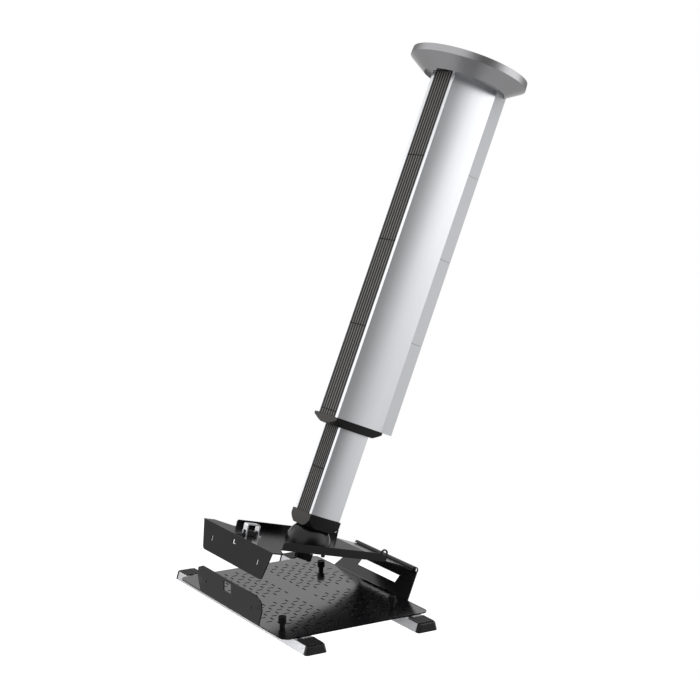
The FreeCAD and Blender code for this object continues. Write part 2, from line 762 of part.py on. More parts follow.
def upper_bracket():
    # plan of the floor: two wide ends and a waist between the upright bars
    end_x = -bracket_left + bracket_end_width
    right = [(-bracket_left, bracket_end_half_y), (end_x, bracket_end_half_y),
             (-bracket_waist_x, bar_half_y), (slope_start, bar_half_y)]
    points = [(x, y, -bracket_sheet) for x, y in right]
    points += [(x, -y, -bracket_sheet) for x, y in reversed(right)]
    floor = prism(points, V(0, 0, bracket_sheet))
    drop = math.atan2(bead_z - bracket_sheet / 2, bead_x - slope_start)
    half = bracket_sheet / 2
    nx = half * math.sin(drop)
    nz = half * math.cos(drop)
    slope = [(slope_start, 0), (bead_x + nx, -bead_z + nz),
             (bead_x - nx, -bead_z - nz), (slope_start, -bracket_sheet)]
    ramp = prism([(x, -bar_half_y, z) for x, z in slope], V(0, 2 * bar_half_y, 0))
    wide_ramp = prism([(x, -bead_half_y, z) for x, z in slope], V(0, 2 * bead_half_y, 0))
    below = -2 * bead_z - bracket_sheet
    past = bead_x + 2 * bead_radius
    near = [(slope_start, -bar_half_y), (bead_x, -bead_half_y), (past, -bead_half_y)]
    outline = near + [(x, -y) for x, y in reversed(near)]
    plan = prism([(x, y, below) for x, y in outline], V(0, 0, 2 * bracket_sheet - below))
    bead = Part.makeCylinder(bead_radius, 2 * bead_half_y, V(bead_x, -bead_half_y, -bead_z), Y_AXIS)
    bars = []
    for side in (-1, 1):
        y = bar_half_y - bracket_sheet if side > 0 else -bar_half_y
        foot = V(-bar_start, y, -bracket_sheet)
        bar = Part.makeBox(bar_start + bar_end, bracket_sheet, bar_height + bracket_sheet, foot)
        corner = edges_at(bar, lambda p: abs(p.x + bar_start) < 0.01 and abs(p.z - bar_height) < 0.01)
        bar = bar.makeFillet(bar_corner, corner)
        ear = Part.makeCylinder(ear_radius, bracket_sheet, V(ear_x, y, ear_z), Y_AXIS)
        hole = Part.makeCylinder(ear_hole_radius, bracket_sheet, V(ear_x, y, ear_z), Y_AXIS)
        bars.append(bar.fuse(ear).cut(hole))
    sides = [(bracket_end_half_y, 0), (flange_lower_half_y, -flange_depth),
             (-flange_lower_half_y, -flange_depth), (-bracket_end_half_y, 0)]
    flange = prism([(-bracket_left, y, z) for y, z in sides], V(bracket_sheet, 0, 0))
    lower = edges_at(flange, lambda p: abs(abs(p.y) - flange_lower_half_y) < 0.01
                     and abs(p.z + flange_depth) < 0.01)
    flange = flange.makeFillet(flange_corner, lower)
    body = floor.fuse([ramp.fuse(wide_ramp.common(plan)), bead, flange] + bars)
    cuts = [Part.makeCylinder(floor_opening_radius, bracket_sheet, V(0, 0, -bracket_sheet))]
    for place in boss_places() + [V(ball_radius - dome_wall / 2, 0, 0)]:
        low = place + V(0, 0, -bracket_sheet)
        cuts.append(Part.makeCylinder(dome_screw_radius + dome_screw_gap, bracket_sheet, low))
    for side in (-1, 1):
        corner = V(-bracket_left, side * flange_slot_y - flange_slot_width / 2,
                   -flange_slot_z - flange_slot_height / 2)
        cuts.append(Part.makeBox(bracket_sheet, flange_slot_width, flange_slot_height, corner))
    corner = V(-bracket_left, latch_y - latch_hole_width / 2, -latch_hole_z - latch_hole_height / 2)
    cuts.append(Part.makeBox(bracket_sheet, latch_hole_width, latch_hole_height, corner))
    slot_half = latch_tongue_half + latch_gap
    corner = V(-bracket_left + bracket_sheet, latch_y - slot_half, -bracket_sheet)
    cuts.append(Part.makeBox(latch_slot_length, 2 * slot_half, bracket_sheet, corner))
    return body.cut(cuts).removeSplitter()


def latch_housing():
    # bright strap bent over the latch bolt and riveted to the floor
    left = -latch_x - latch_half_x
    outer_box = Part.makeBox(2 * latch_half_x, 2 * latch_half_y, latch_height, V(left, -latch_half_y, 0))
    bends = edges_at(outer_box, lambda p: abs(p.z - latch_height) < 0.01 and abs(p.y) < 0.01)
    outer_box = outer_box.makeFillet(latch_corner, bends)
    room = Part.makeBox(2 * (latch_half_x - latch_strap), 2 * latch_half_y, latch_height - latch_strap,
                        V(left + latch_strap, -latch_half_y, 0))
    way_half = latch_tongue_half + latch_gap
    way = Part.makeBox(2 * latch_half_x, 2 * way_half, latch_way_height, V(left, -way_half, 0))
    right = left + 2 * latch_half_x
    foot = Part.makeBox(latch_foot, 2 * latch_half_y, latch_foot_thick, V(right, -latch_half_y, 0))
    rivets = [Part.makeCylinder(rivet_radius, rivet_height, V(right + latch_foot / 2, y, latch_foot_thick))
              for y in (-rivet_y, rivet_y)]
    return outer_box.cut([room, way]).fuse([foot] + rivets).translated(V(0, latch_y, 0))


def latch_slider():
    # sliding bolt: a finger pad in the strap, a leg through the floor and a
    # tongue behind the hole in the down flange
    half = latch_tongue_half
    left = -latch_x - latch_half_x
    leg_x = left - slider_leg_reach
    low = -latch_hole_z - latch_hole_height / 2 + slider_tongue_gap
    tongue_height = latch_hole_height - 2 * slider_tongue_gap
    pad_x = left + slider_margin
    pad_length = 2 * (latch_half_x - slider_margin)
    pad = Part.makeBox(pad_length, 2 * half, slider_pad_height, V(pad_x, -half, slider_gap))
    arm_length = pad_x + slider_margin - leg_x
    arm = Part.makeBox(arm_length, 2 * half, slider_arm_height, V(leg_x, -half, slider_gap))
    leg = Part.makeBox(slider_leg, 2 * half, slider_gap + slider_arm_height - low, V(leg_x, -half, low))
    tongue_x = -bracket_left + bracket_sheet + slider_gap
    tongue_length = leg_x + slider_leg / 2 - tongue_x
    tongue = Part.makeBox(tongue_length, 2 * half, tongue_height, V(tongue_x, -half, low))
    grip = []
    for i in range(grip_ribs):
        corner = V(pad_x + grip_first + grip_pitch * i, -half, slider_gap + slider_pad_height)
        grip.append(Part.makeBox(grip_width, 2 * half, grip_height, corner))
    return pad.fuse([arm, leg, tongue] + grip).removeSplitter().translated(V(0, latch_y, 0))


def perforations():
    # basket pattern: slots along X and Y alternate on the two halves of a
    # checkerboard, in four fields that leave a plain cross
    holes = []
    for i in range(slot_columns):
        for j in range(slot_rows):
            if (i + j) % 2:
                continue
            along_x = i % 2 == 1
            half_x = slot_length / 2 if along_x else slot_width / 2
            half_y = slot_width / 2 if along_x else slot_length / 2
            for sx in (-1, 1):
                for sy in (-1, 1):
                    x = sx * (slot_first_x + i * slot_pitch_x)
                    y = sy * (slot_first_y + j * slot_pitch_y)
                    if near_thumb_screw(x, y):
                        continue
                    holes.append(wire_of([(x - half_x, y - half_y, 0), (x + half_x, y - half_y, 0),
                                          (x + half_x, y + half_y, 0), (x - half_x, y + half_y, 0)]))
    return holes


def thumb_places():
    return [V(side * rail_x - rail_slot_shift, y, 0)
            for side in (-1, 1) for y in (thumb_y_far, thumb_y_near)]


def near_thumb_screw(x, y):
    reach = thumb_radius + slot_length / 2
    return any(abs(place.x - x) < reach and abs(place.y - y) < reach for place in thumb_places())


def rounded_plan(half_x, half_y, corner, z):
    plate = Part.makeBox(2 * half_x, 2 * half_y, 1, V(-half_x, -half_y, z))
    upright = [e for e in plate.Edges if abs(e.Vertexes[0].Point.z - e.Vertexes[-1].Point.z) > 0.5]
    plate = plate.makeFillet(corner, upright)
    base = [f for f in plate.Faces if abs(f.CenterOfMass.z - z) < 1e-6][0]
    return base.OuterWire


def hook_line():
    # the sloping flange leaves the plate's edge and touches the curl
    start = (tray_half_x, -tray_sheet / 2)
    centre = (bead_x + tray_shift, tray_drop - bead_z)
    radius = (hook_inner_radius + hook_outer_radius) / 2
    dx = centre[0] - start[0]
    dz = centre[1] - start[1]
    distance = math.hypot(dx, dz)
    slope = math.atan2(dz, dx) - math.asin(radius / distance)
    length = math.sqrt(distance ** 2 - radius ** 2)
    return start, centre, slope, length


def perforated_tray():
    plan = rounded_plan(tray_half_x, tray_half_y, tray_corner, 0)
    stud_hole = thumb_stud_radius + thumb_clearance
    rounds = [Part.Wire(Part.makeCircle(stud_hole, place)) for place in thumb_places()]
    face = Part.makeFace([plan] + perforations() + rounds, "Part::FaceMakerBullseye")
    plate = face.extrude(V(0, 0, -tray_sheet))
    half = [(tray_flange_base_y, -tray_sheet), (tray_flange_base_y, tray_flange_upright),
            (tray_flange_mid_y, tray_flange_mid_z), (tray_flange_corner_y, tray_flange_corner_z),
            (tray_flange_top_y, tray_flange_height)]
    outline = [(-tray_half_x, y, z) for y, z in half]
    outline += [(-tray_half_x, -y, z) for y, z in reversed(half)]
    flange = prism(outline, V(tray_sheet, 0, 0))
    window = Part.makeBox(tray_sheet, 2 * tray_window_half_y, tray_window_high - tray_window_low,
                          V(-tray_half_x, latch_y - tray_window_half_y, tray_window_low))
    holes = []
    for side in (-1, 1):
        place = V(-tray_half_x, side * tray_hole_y, tray_hole_z)
        holes.append(Part.makeCylinder(tray_hole_radius, tray_sheet, place, X_AXIS))
    flange = flange.cut([window] + holes)
    start, centre, slope, length = hook_line()
    direction = V(math.cos(slope), 0, math.sin(slope))
    normal = V(-math.sin(slope), 0, math.cos(slope))
    foot = V(start[0], 0, start[1])
    def across(stations, thick):
        # a plate along the flange's slope, with its half width at each station
        corners = [(along, half_y) for along, half_y in stations]
        corners += [(along, -half_y) for along, half_y in reversed(stations)]
        points = []
        for along, y in corners:
            point = foot + direction * along - normal * (thick / 2)
            points.append((point.x, y, point.z))
        return prism(points, normal * thick)
    ramp = across([(-hook_root, hook_base_half_y), (length, hook_half_y)], tray_sheet)
    pane = [(hook_window_low, hook_window_half_y), (hook_window_high, hook_window_half_y)]
    ramp = ramp.cut(across(pane, 4 * tray_sheet))
    curl_start = math.degrees(slope) - 90
    tube = (centre, hook_inner_radius, hook_outer_radius)
    curl = sheet_sector(*tube, curl_start, hook_end_angle, hook_half_y)
    reach = 2 * hook_outer_radius
    trims = []
    for side in (-1, 1):
        low = hook_lip_half_y if side > 0 else -hook_half_y
        corner = V(centre[0] - reach, low, centre[1])
        trims.append(Part.makeBox(reach, hook_half_y - hook_lip_half_y, reach, corner))
        low = hook_relief_inner if side > 0 else -hook_relief_outer
        corner = V(centre[0] + hook_relief_half / 2, low, centre[1] - hook_relief_half)
        width = hook_relief_outer - hook_relief_inner
        trims.append(Part.makeBox(reach, width, 2 * hook_relief_half, corner))
    curl = curl.cut(trims)
    return plate.fuse([flange, ramp, curl]).removeSplitter()


def rail_section(y_low, y_high):
    top = -tray_sheet - rail_gap
    low = top - rail_height
    points = [(-rail_top_half, y_low, top), (rail_top_half, y_low, top),
              (rail_bottom_half, y_low, low), (-rail_bottom_half, y_low, low)]
    return prism(points, V(0, y_high - y_low, 0))


def rail():
    # trapezium extrusion with a nut channel open to the top and a light core
    top = -tray_sheet - rail_gap
    length = 2 * rail_half_length
    body = rail_section(-rail_half_length, rail_half_length)
    near = -rail_half_length
    corner = V(-rail_slot_shift - rail_slot_half, near, top - rail_lip)
    slot = Part.makeBox(2 * rail_slot_half, length, rail_lip, corner)
    corner = V(-rail_slot_shift - rail_channel_half, near, top - rail_lip - rail_channel_depth)
    channel = Part.makeBox(2 * rail_channel_half, length, rail_channel_depth, corner)
    core_x = -rail_slot_shift + rail_channel_half + rail_core_web
    core_width = rail_top_half - rail_core_wall - core_x
    core_height = rail_height - rail_lip - rail_bottom_wall
    corner = V(core_x, near, top - rail_height + rail_bottom_wall)
    core = Part.makeBox(core_width, length, core_height, corner)
    holes = []
    for side in (-1, 1):
        foot = V(-rail_slot_shift, side * rail_hole_y, top - rail_height)
        holes.append(Part.makeCylinder(rail_hole_radius, rail_height, foot))
    return body.cut([slot, channel, core] + holes)


def rail_cap(side):
    # end moulding: a chamfered block over the rail's end and a ribbed pad on top
    top = -tray_sheet - rail_gap
    near = side * rail_half_length
    outer_y = near + side * rail_cap_length
    block = rail_section(min(near, outer_y), max(near, outer_y))
    edges = edges_at(block, lambda p: abs(p.y - outer_y) < 0.01 and abs(p.x) > rail_top_half - 0.5)
    block = block.makeChamfer(rail_cap_chamfer, edges)
    pad_half = rail_top_half - rail_pad_margin
    pad_low = min(side * rail_pad_start, near + side * rail_cap_overlap)
    pad_length = rail_half_length + rail_cap_overlap - rail_pad_start
    pad = Part.makeBox(2 * pad_half, pad_length, rail_pad_thick, V(-pad_half, pad_low, top))
    grooves = []
    depth = rail_pad_thick / 2
    for i in range(1, rail_pad_cells):
        x = -pad_half + i * 2 * pad_half / rail_pad_cells - rail_pad_groove / 2
        y = pad_low + i * pad_length / rail_pad_cells - rail_pad_groove / 2
        grooves.append(Part.makeBox(rail_pad_groove, pad_length, depth, V(x, pad_low, top + depth)))
        grooves.append(Part.makeBox(2 * pad_half, rail_pad_groove, depth, V(-pad_half, y, top + depth)))
    return block.fuse(pad.cut(grooves))


def thumb_screw(place):
    # knurled knob on a collar, with its stud down to the nut in the rail
    knob = Part.makeCylinder(thumb_radius, thumb_height, place + V(0, 0, thumb_collar_height))
    flutes = []
    for i in range(thumb_flutes):
        angle = 2 * math.pi * i / thumb_flutes
        x = thumb_radius * math.cos(angle) - thumb_flute_width / 2
        y = thumb_radius * math.sin(angle) - thumb_flute_width / 2
        corner = place + V(x, y, thumb_collar_height + thumb_flute_margin)
        height = thumb_height - 2 * thumb_flute_margin
        flutes.append(Part.makeBox(thumb_flute_width, thumb_flute_width, height, corner))
    dish_low = thumb_collar_height + thumb_height - thumb_dish_depth
    dish = Part.makeCylinder(thumb_radius - thumb_dish_rim, thumb_dish_depth, place + V(0, 0, dish_low))
    collar_height = thumb_collar_height - thumb_lift
    collar_ring = Part.makeCylinder(thumb_collar_radius, collar_height, place + V(0, 0, thumb_lift))
    stud = Part.makeCylinder(thumb_stud_radius, thumb_stud_length + 1, place + V(0, 0, -thumb_stud_length))
    return knob.cut(flutes + [dish]).fuse([collar_ring, stud]).removeSplitter()


def tee_nuts():
    top = -tray_sheet - rail_gap - rail_lip - nut_top_gap
    half_x = rail_channel_half - nut_side_gap
    nuts = []
    for place in thumb_places():
        low = place + V(0, 0, top - nut_height)
        corner = low - V(half_x, nut_half_length, 0)
        block = Part.makeBox(2 * half_x, 2 * nut_half_length, nut_height, corner)
        bore = Part.makeCylinder(thumb_stud_radius + thumb_fit, nut_height, low)
        nuts.append(block.cut(bore))
    return Part.makeCompound(nuts)


def hang_bracket(shape):
    shape.translate(V(0, 0, ball_z))
    shape.rotate(V(0, 0, ball_z), Y_AXIS, -bracket_lean)
    return shape


def hang_tray(shape):
    shape.translate(V(-tray_shift, 0, -tray_drop))
    shape.rotate(V(bead_x, 0, -bead_z), Y_AXIS, -tray_open)
    return hang_bracket(shape)


os.makedirs("parts", exist_ok=True)

write("ceiling_plate", ceiling_plate())
write("plate_screws", plate_screws())
write("outer_column", outer_column())
write("height_lock_screws", height_lock_screws())
for number, strip in enumerate(front_strips(), 1):
    write("front_strip_%d" % number, strip)
for number, duct in enumerate(cable_ducts(), 1):
    write("cable_duct_%d" % number, duct)
write("collar", collar())
guide_top = -outer_end + guide_length
write("lower_guide", glide(-outer_end, guide_top, guide_fit, slide_gap, guide_port_gap))

write("ceiling_cover", ceiling_cover())
write("cover_grub_screw", cover_grub_screw())

inner_top = -inner_end + inner_length
write("inner_column", inner_column())
guide_low = inner_top - guide_length
write("upper_guide", glide(guide_low, inner_top, slide_gap, 0, upper_guide_port_gap))
for number, strip in enumerate(inner_strips(), 1):
    write("inner_strip_%d" % number, strip)
write("end_cap", end_cap())

write("clamp_bolt", clamp_bolt())
write("clamp_washer", clamp_washer())
write("clamp_nut", clamp_nut())
write("ball_liner", ball_liner())

write("ball_dome", hang_bracket(ball_dome()))
write("dome_screws", hang_bracket(dome_screws()))
write("dome_lock_screw", hang_bracket(dome_lock_screw()))
write("upper_bracket", hang_bracket(upper_bracket()))
write("latch_housing", hang_bracket(latch_housing()))
write("latch_slider", hang_bracket(latch_slider()))

write("perforated_tray", hang_tray(perforated_tray()))
write("tee_nuts", hang_tray(tee_nuts()))
for side, name in ((-1, "left"), (1, "right")):
    beam = rail()
    beam.translate(V(side * rail_x, 0, 0))
    write("rail_" + name, hang_tray(beam))
    caps = Part.makeCompound([rail_cap(end) for end in (-1, 1)])
    caps.translate(V(side * rail_x, 0, 0))
    write("rail_caps_" + name, hang_tray(caps))
for number, place in enumerate(thumb_places(), 1):
    write("thumb_screw_%d" % number, hang_tray(thumb_screw(place)))
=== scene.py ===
import bpy
import bmesh
import json
import math
from mathutils import Matrix, Vector

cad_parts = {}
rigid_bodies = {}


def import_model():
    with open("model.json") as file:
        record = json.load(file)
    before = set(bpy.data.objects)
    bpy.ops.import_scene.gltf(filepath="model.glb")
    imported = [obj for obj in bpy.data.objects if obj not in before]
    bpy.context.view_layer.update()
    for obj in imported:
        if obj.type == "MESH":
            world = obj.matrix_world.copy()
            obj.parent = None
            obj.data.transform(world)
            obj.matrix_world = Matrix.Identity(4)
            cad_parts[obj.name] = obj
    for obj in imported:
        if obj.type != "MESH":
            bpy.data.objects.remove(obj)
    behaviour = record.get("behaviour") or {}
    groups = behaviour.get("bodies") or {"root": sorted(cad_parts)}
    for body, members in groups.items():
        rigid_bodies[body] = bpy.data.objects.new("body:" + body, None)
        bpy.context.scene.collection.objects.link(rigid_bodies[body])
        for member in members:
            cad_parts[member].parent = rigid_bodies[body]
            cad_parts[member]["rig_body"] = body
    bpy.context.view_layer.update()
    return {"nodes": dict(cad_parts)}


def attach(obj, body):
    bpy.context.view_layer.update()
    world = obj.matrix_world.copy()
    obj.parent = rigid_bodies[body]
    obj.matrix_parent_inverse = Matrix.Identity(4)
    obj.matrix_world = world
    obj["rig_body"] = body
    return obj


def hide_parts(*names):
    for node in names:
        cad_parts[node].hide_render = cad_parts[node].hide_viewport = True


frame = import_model()


# The ceiling plate is a laser-cut steel disc, powder coated grey. Four bolts
# hold it to the ceiling, and four countersunk zinc screws go through it into
# the screw ports of the outer column. The cut edges are lightly rounded.

def rgba(colour):
    """Colour sockets want a fourth number after red, green and blue."""
    return colour if isinstance(colour, Signal) else (*colour, 1.0)


class Signal:
    """One output in a material's node tree. Arithmetic on it adds Math nodes."""

    def __init__(self, tree, plug):
        self.tree = tree
        self.plug = plug

    def node(self, kind, settings, values, output=0):
        made = self.tree.nodes.new(kind)
        for name, value in settings.items():
            setattr(made, name, value)
        for name, value in values.items():
            if isinstance(value, Signal):
                self.tree.links.new(value.plug, made.inputs[name])
            else:
                made.inputs[name].default_value = value
        return Signal(self.tree, made.outputs[output])

    def shown_by(self, kind):
        """Makes this the surface of a new output node of that kind."""
        output = self.tree.nodes.new(kind)
        self.tree.links.new(self.plug, output.inputs["Surface"])

    def sum_of(self, operation, first, second=0.0):
        return self.node("ShaderNodeMath", {"operation": operation}, {0: first, 1: second})

    def __add__(self, other):
        return self.sum_of("ADD", self, other)

    def __radd__(self, other):
        return self.sum_of("ADD", other, self)

    def __sub__(self, other):
        return self.sum_of("SUBTRACT", self, other)

    def __rsub__(self, other):
        return self.sum_of("SUBTRACT", other, self)

    def __mul__(self, other):
        return self.sum_of("MULTIPLY", self, other)

    def wave(self):
        return self.sum_of("SINE", self)

    def above(self, low, high):
        """0 below low, 1 above high, smooth between them."""
        settings = {"interpolation_type": "SMOOTHSTEP"}
        limits = {0: self, 1: low, 2: high, 3: 0.0, 4: 1.0}
        return self.node("ShaderNodeMapRange", settings, limits)

    def axes(self):
        return [self.node("ShaderNodeSeparateXYZ", {}, {0: self}, axis) for axis in range(3)]

    def with_vector(self, operation, other=(0.0, 0.0, 0.0), output=0):
        values = {0: self, 1: other}
        return self.node("ShaderNodeVectorMath", {"operation": operation}, values, output)

    def along(self, direction):
        """How far this point lies along a unit direction."""
        return self.with_vector("DOT_PRODUCT", direction, "Value")

    def noise(self, per_metre, detail=3.0):
        """Even noise at this point. per_metre is one number, or one for each axis."""
        counts = per_metre if isinstance(per_metre, tuple) else (per_metre,) * 3
        spread = self.with_vector("MULTIPLY", counts)
        values = {"Vector": spread, "Scale": 1.0, "Detail": detail}
        return self.node("ShaderNodeTexNoise", {}, values)

    def between(self, first, second):
        """A colour from first to second, as this goes from 0 to 1."""
        values = {0: self, 6: rgba(first), 7: rgba(second)}
        return self.node("ShaderNodeMix", {"data_type": "RGBA"}, values, 2)

    def relief(self, depth):
        """Surface relief of that depth in metres, where this is a height from 0 to 1."""
        values = {"Height": self, "Distance": depth, "Strength": 1.0}
        return self.node("ShaderNodeBump", {}, values)

    def ray(self, question):
        """1 for the light rays that the question is true of, such as Is Camera Ray."""
        return self.node("ShaderNodeLightPath", {}, {}, question)


def new_finish(name):
    """An empty finish and the place on the piece, in metres, that its pattern reads."""
    material = bpy.data.materials.new(name)
    material.use_nodes = True
    material.node_tree.nodes.clear()
    start = Signal(material.node_tree, None)
    return material, start.node("ShaderNodeTexCoord", {}, {}, "Object")


def close_finish(material, place, **sockets):
    """Sets the surface shader; underscores in a socket's name stand for spaces."""
    values = {name.replace("_", " "): value for name, value in sockets.items()}
    values["Base Color"] = rgba(values["Base Color"])
    place.node("ShaderNodeBsdfPrincipled", {}, values).shown_by("ShaderNodeOutputMaterial")
    return material


def thickened(shape, coat, end_x):
    """Moves the faces outward by the thickness of a coat of paint, which ends at end_x."""
    same_way = 0.9
    moves = []
    for corner in shape.verts:
        if corner.co.x > end_x:
            moves.append(Vector())
            continue
        directions = []
        for face in corner.link_faces:
            if all(face.normal.dot(known) < same_way for known in directions):
                directions.append(face.normal.copy())
        moves.append(sum(directions, Vector()) * coat)
    for corner, move in zip(shape.verts, moves):
        corner.co += move


def finished(node, material, edge=0.0003, rounds=2, smooth_below=32,
             fold=0, coat=0, coat_end_x=0):
    """The CAD solid's own mesh with its corners rounded, in its real finish.
    In folded sheet the corners between two broad faces get the bend's radius."""
    weld_distance = 2e-6
    broad_face = 0.005
    solid = frame["nodes"][node]
    shape = bmesh.new()
    shape.from_mesh(solid.data)
    bmesh.ops.remove_doubles(shape, verts=shape.verts, dist=weld_distance)
    if coat:
        thickened(shape, coat, coat_end_x)
    for face in shape.faces:
        face.smooth = True
    widest = max(edge, fold)
    weight = shape.edges.layers.float.new("bevel_weight_edge")
    for line in shape.edges:
        line.smooth = line.calc_face_angle(math.pi) < math.radians(smooth_below)
        if widest and not line.smooth:
            smaller_face = min(face.calc_area() for face in line.link_faces)
            breadth = 2 * smaller_face / line.calc_length()
            bend = fold and breadth > broad_face and line.is_convex
            line[weight] = (fold if bend else edge) / widest
    mesh = bpy.data.meshes.new(node + "_finished")
    shape.to_mesh(mesh)
    shape.free()
    mesh.materials.append(material)
    piece = bpy.data.objects.new(node + "_finished", mesh)
    bpy.context.scene.collection.objects.link(piece)
    if widest:
        rounding = piece.modifiers.new("rounding", "BEVEL")
        rounding.width = widest
        rounding.segments = rounds
        rounding.limit_method = "WEIGHT"
        rounding.miter_outer = "MITER_ARC"
    flat_faces = piece.modifiers.new("flat faces", "WEIGHTED_NORMAL")
    flat_faces.keep_sharp = True
    return installed(piece, solid["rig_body"], node)


def installed(piece, body, *nodes):
    """The piece stands for its CAD nodes and moves with their body."""
    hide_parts(*nodes)
    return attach(piece, body)


def grey_powder():
    material, place = new_finish("grey powder coat")
    grain = place.noise(1400)
    return close_finish(material, place, Base_Color=(0.50, 0.51, 0.53), Metallic=0.0,
                        Roughness=grain * 0.1 + 0.42, Normal=grain.relief(0.00002))


def zinc_steel():
    material, place = new_finish("zinc-plated steel")
    blotches = place.noise(160)
    return close_finish(material, place, Metallic=1.0,
                        Base_Color=blotches.between((0.50, 0.51, 0.53), (0.66, 0.66, 0.66)),
                        Roughness=blotches * 0.18 + 0.2)


zinc = zinc_steel()
finished("ceiling_plate", grey_powder())
finished("plate_screws", zinc, edge=0.0002)


# The outer column is one aluminium extrusion, satin anodised. Its two broad
# sides are gently convex, and the die leaves very fine lines along them. The
# recess's floor behind the front strips is painted black, as painted shade.

def satin_aluminium(recess_shade_x, recess_shade_half_y):
    """The first number is the face of the recess's floor and the second is half its width; there
    the colour is painted black, as painted shade.
    """
    material, place = new_finish("satin anodised aluminium")
    x, y, z = place.axes()
    shade_side_limits = ((recess_shade_half_y - 0.0001) ** 2, recess_shade_half_y ** 2)
    shade_face_limits = (recess_shade_x + 0.0001, recess_shade_x + 0.0002)
    # Painted shade: the recess's floor is coloured black and not metallic.
    painted_recess_shade = (1.0 - x.above(*shade_face_limits)) * (1.0 - (y * y).above(*shade_side_limits))
    die_lines = place.noise((1500, 1500, 3), 2.0)
    cloud = place.noise((30, 30, 5), 2.0)
    bright = cloud.between((0.66, 0.67, 0.69), (0.74, 0.75, 0.77))
    return close_finish(material, place, Metallic=1.0 - painted_recess_shade,
                        Base_Color=painted_recess_shade.between(bright, (0.004, 0.004, 0.004)),
                        Roughness=die_lines * 0.1 + 0.27, Normal=die_lines.relief(0.000004))


finished("outer_column", satin_aluminium(recess_shade_x=-0.0430, recess_shade_half_y=0.0243), edge=0.0005)


# Four black moulded strips fill the front recess end to end. Each has upright
# ribs, and the flats between the ribs carry a fine woven grain that stops
# just short of the strip's ends.

def ribbed_black(rib_top_x, seam_z):
    """seam_z is the height of one joint between two strips."""
    material, place = new_finish("black ribbed moulding")
    turn = 2 * math.pi
    strip_length = 0.1465
    weft_pitch = 0.0024
    warp_pitch = 0.0034
    rib_wall = (rib_top_x + 0.0005, rib_top_x + 0.0008)
    seam = (0.9988, 0.9996)
    x, y, z = place.axes()
    between_ribs = x.above(*rib_wall)
    weave = ((z * (turn / weft_pitch)).wave() * (y * (turn / warp_pitch)).wave()) * 0.5 + 0.5
    from_seam = (z - seam_z) * (turn / strip_length) + math.pi / 2
    at_seam = from_seam.wave().above(*seam)
    worn = weave.between((0.125, 0.121, 0.117), (0.29, 0.28, 0.27))
    grain = place.noise(900)
    woven = between_ribs * (1.0 - at_seam)
    return close_finish(material, place, Base_Color=woven.between((0.010, 0.010, 0.011), worn),
                        Roughness=grain * 0.15 + 0.42, Specular_IOR_Level=0.2,
                        Normal=(weave * 0.7 + grain * 0.3).relief(0.00012))


strip_black = ribbed_black(rib_top_x=-0.0459, seam_z=-0.1735)
for number in range(1, 5):
    finished("front_strip_%d" % number, strip_black, edge=0)


# Behind the column four light grey channels snap on end to end, and the
# cables run down inside them. They are moulded in satin plastic.

def duct_grey():
    material, place = new_finish("light grey moulding")
    grain = place.noise(700)
    return close_finish(material, place, Base_Color=(0.66, 0.67, 0.69),
                        Roughness=grain * 0.1 + 0.34, Normal=grain.relief(0.00001))


grey_moulding = duct_grey()
for number in range(1, 5):
    finished("cable_duct_%d" % number, grey_moulding)


# A black moulded collar closes the outer column's lower end and steers the
# inner one. Four pegs on it are pressed into the column's ports, two plastic
# guide rings centre the inner column, and two grub screws set the height.

def black_moulding(front_x=-1.0):
    """Faces in front of front_x have a matt spark texture, and are painted a lighter charcoal as a
    painted sheen of the light they catch.
    """
    material, place = new_finish("fine-grained black moulding")
    grain = place.noise(1100)
    # The front faces are painted lighter: a painted sheen of the light they catch, on a real matt
    # spark texture.
    spark_and_sheen = 1.0 - place.axes()[0].above(front_x, front_x + 0.0004)
    black = grain.between((0.006, 0.006, 0.006), (0.012, 0.012, 0.013))
    return close_finish(material, place, Specular_IOR_Level=0.16,
                        Base_Color=spark_and_sheen.between(black, (0.075, 0.071, 0.068)),
                        Roughness=grain * 0.15 + 0.3 + spark_and_sheen * 0.2,
                        Normal=grain.relief(0.00003))


def white_acetal():
    material, place = new_finish("natural acetal")
    mottle = place.noise(120)
    return close_finish(material, place, Roughness=0.4,
                        Base_Color=mottle.between((0.72, 0.72, 0.69), (0.80, 0.80, 0.77)))


def black_oxide():
    material, place = new_finish("black oxide steel")
    wear = place.noise(300)
    return close_finish(material, place, Metallic=0.6, Roughness=wear * 0.2 + 0.28,
                        Base_Color=wear.between((0.018, 0.018, 0.018), (0.05, 0.05, 0.05)))


moulding = black_moulding()
acetal = white_acetal()
oxide = black_oxide()
finished("collar", black_moulding(front_x=-0.0472), edge=0.0007, rounds=3)
finished("lower_guide", acetal)
finished("upper_guide", acetal)
finished("height_lock_screws", oxide, edge=0.0002)


# The ceiling cover is spun from thin aluminium and painted silver: an upright
# rim, a cone and a recessed ring round the column. A small grub screw in a
# boss holds it up, and it slides down the column to reach the bolts.

def silver_paint():
    material, place = new_finish("silver metallic paint")
    flakes = place.noise(3000, 1.0)
    return close_finish(material, place, Metallic=1.0, Roughness=0.32,
                        Base_Color=flakes.between((0.36, 0.36, 0.37), (0.44, 0.44, 0.45)),
                        Normal=flakes.relief(0.000004))


finished("ceiling_cover", silver_paint(), edge=0.0006, rounds=3)
finished("cover_grub_screw", oxide, edge=0.0002)


# The inner column slides in the outer one. It is the same kind of extrusion,
# smaller, with its own ribbed strips down the front.

finished("inner_column", satin_aluminium(recess_shade_x=-0.0265, recess_shade_half_y=0.0192), edge=0.0005)
inner_strip_black = ribbed_black(rib_top_x=-0.0290, seam_z=-0.7076)
for number in range(1, 4):
    finished("inner_strip_%d" % number, inner_strip_black, edge=0)


# The end cap is a thick black moulding pushed into the inner column's end,
# with the ball's seat in its underside.

finished("end_cap", black_moulding(front_x=-0.0307), edge=0.0008, rounds=3)


# A bolt runs down through the end cap, a domed washer and a sleeve. The round
# nut under the bracket pulls the ball against the plastic liner and locks it.

